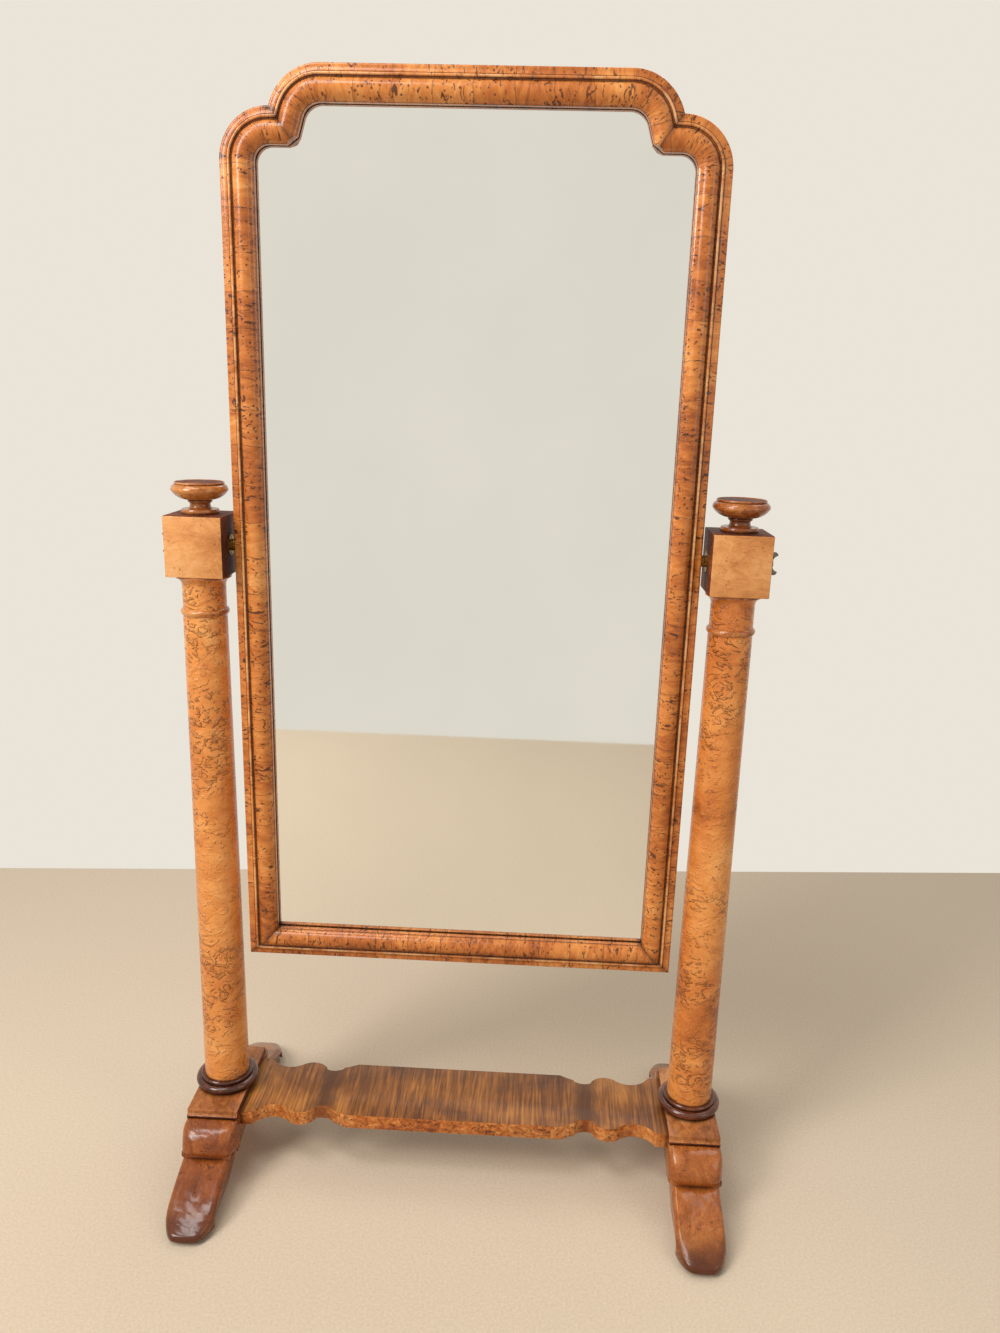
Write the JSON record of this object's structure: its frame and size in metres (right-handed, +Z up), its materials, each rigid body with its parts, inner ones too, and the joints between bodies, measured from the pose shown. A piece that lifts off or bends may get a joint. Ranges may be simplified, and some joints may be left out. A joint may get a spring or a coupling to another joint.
{
  "type": "cheval mirror",
  "caption": "Tall tilting looking-glass in a shaped moulded frame, hung between turned columns on sledge feet with a shaped stretcher and small castors.",
  "frame": {"origin": "on the floor, under the middle of the stand", "axes": "+Z up, +X to the right as one faces the glass, the glass faces -Y"},
  "size_m": [0.8902, 0.476, 1.65],
  "materials": {
    "frame_wood": "polished bird's-eye veneer on a moulding, amber with dark joints",
    "column_wood": "polished quilted veneer, amber brown",
    "block_wood": "polished fine mottled veneer, paler gold",
    "ring_wood": "polished dark red-brown turning",
    "foot_wood": "polished red-brown veneer, darker inner sides",
    "stretcher_wood": "polished olive-brown top with a burr edge",
    "mirror_glass": "silvered plate glass",
    "board_wood": "plain unpolished softwood",
    "brass": "aged polished brass",
    "thumbscrew_metal": "worn nickelled metal",
    "screw_steel": "dull steel"
  },
  "bodies": {
    "stand": {"left_foot": "foot_wood", "left_cap_block": "block_wood", "left_base_ring": "ring_wood", "left_column": "column_wood", "left_head_block": "block_wood", "left_finial": "ring_wood", "left_inner_plate": "brass", "left_outer_plate": "brass", "right_foot": "foot_wood", "right_cap_block": "block_wood", "right_base_ring": "ring_wood", "right_column": "column_wood", "right_head_block": "block_wood", "right_finial": "ring_wood", "right_inner_plate": "brass", "right_outer_plate": "brass", "plate_screws": "screw_steel", "castor_screws": "screw_steel", "stretcher": "stretcher_wood", "front_left_castor_plate": "brass", "back_left_castor_plate": "brass", "front_right_castor_plate": "brass", "back_right_castor_plate": "brass"},
    "mirror": {"top_rail": "frame_wood", "bottom_rail": "frame_wood", "mirror_glass": "mirror_glass", "back_board": "board_wood", "glazing_blocks": "board_wood", "board_screws": "screw_steel", "nut_plate_screws": "screw_steel", "left_crown_corner": "frame_wood", "left_shoulder": "frame_wood", "left_stile": "frame_wood", "left_nut_plate": "brass", "right_crown_corner": "frame_wood", "right_shoulder": "frame_wood", "right_stile": "frame_wood", "right_nut_plate": "brass"},
    "left_washer": {"left_washer": "brass"},
    "left_thumbscrew": {"left_thumbscrew": "thumbscrew_metal"},
    "right_washer": {"right_washer": "brass"},
    "right_thumbscrew": {"right_thumbscrew": "thumbscrew_metal"},
    "front_left_castor": {"front_left_castor_fork": "brass", "front_left_castor_axle": "brass"},
    "front_left_castor_wheel": {"front_left_castor_wheel": "brass"},
    "back_left_castor": {"back_left_castor_fork": "brass", "back_left_castor_axle": "brass"},
    "back_left_castor_wheel": {"back_left_castor_wheel": "brass"},
    "front_right_castor": {"front_right_castor_fork": "brass", "front_right_castor_axle": "brass"},
    "front_right_castor_wheel": {"front_right_castor_wheel": "brass"},
    "back_right_castor": {"back_right_castor_fork": "brass", "back_right_castor_axle": "brass"},
    "back_right_castor_wheel": {"back_right_castor_wheel": "brass"}
  },
  "joints": [
    {"name": "mirror_tilt", "type": "hinge", "parent": "stand", "child": "mirror", "pos_m": [0, 0, 1.023], "axis": [1, 0, 0], "continuous": true},
    {"name": "left_washer_slide", "type": "slide", "parent": "stand", "child": "left_washer", "axis": [-1, 0, 0], "range_m": [0, 0.0025]},
    {"name": "left_thumbscrew_turn", "type": "hinge", "parent": "left_washer", "child": "left_thumbscrew", "pos_m": [-0.4321, 0, 1.023], "axis": [-1, 0, 0], "range_deg": [0, 720]},
    {"name": "right_washer_slide", "type": "slide", "parent": "stand", "child": "right_washer", "axis": [1, 0, 0], "range_m": [0, 0.0025]},
    {"name": "right_thumbscrew_turn", "type": "hinge", "parent": "right_washer", "child": "right_thumbscrew", "pos_m": [0.4321, 0, 1.023], "axis": [1, 0, 0], "range_deg": [0, 720]},
    {"name": "front_left_castor_swivel", "type": "hinge", "parent": "stand", "child": "front_left_castor", "pos_m": [-0.387, -0.168, 0.0235], "axis": [0, 0, 1], "continuous": true},
    {"name": "front_left_castor_roll", "type": "hinge", "parent": "front_left_castor", "child": "front_left_castor_wheel", "pos_m": [-0.387, -0.1595, 0.0095], "axis": [1, 0, 0], "continuous": true},
    {"name": "back_left_castor_swivel", "type": "hinge", "parent": "stand", "child": "back_left_castor", "pos_m": [-0.387, 0.168, 0.0235], "axis": [0, 0, 1], "continuous": true},
    {"name": "back_left_castor_roll", "type": "hinge", "parent": "back_left_castor", "child": "back_left_castor_wheel", "pos_m": [-0.387, 0.1595, 0.0095], "axis": [1, 0, 0], "continuous": true},
    {"name": "front_right_castor_swivel", "type": "hinge", "parent": "stand", "child": "front_right_castor", "pos_m": [0.387, -0.168, 0.0235], "axis": [0, 0, 1], "continuous": true},
    {"name": "front_right_castor_roll", "type": "hinge", "parent": "front_right_castor", "child": "front_right_castor_wheel", "pos_m": [0.387, -0.1595, 0.0095], "axis": [1, 0, 0], "continuous": true},
    {"name": "back_right_castor_swivel", "type": "hinge", "parent": "stand", "child": "back_right_castor", "pos_m": [0.387, 0.168, 0.0235], "axis": [0, 0, 1], "continuous": true},
    {"name": "back_right_castor_roll", "type": "hinge", "parent": "back_right_castor", "child": "back_right_castor_wheel", "pos_m": [0.387, 0.1595, 0.0095], "axis": [1, 0, 0], "continuous": true}
  ],
  "couplings": [
    {"joint": "left_thumbscrew_turn", "follows": "left_washer_slide", "rad_per_m": 5026.5},
    {"joint": "right_thumbscrew_turn", "follows": "right_washer_slide", "rad_per_m": 5026.5}
  ]
}
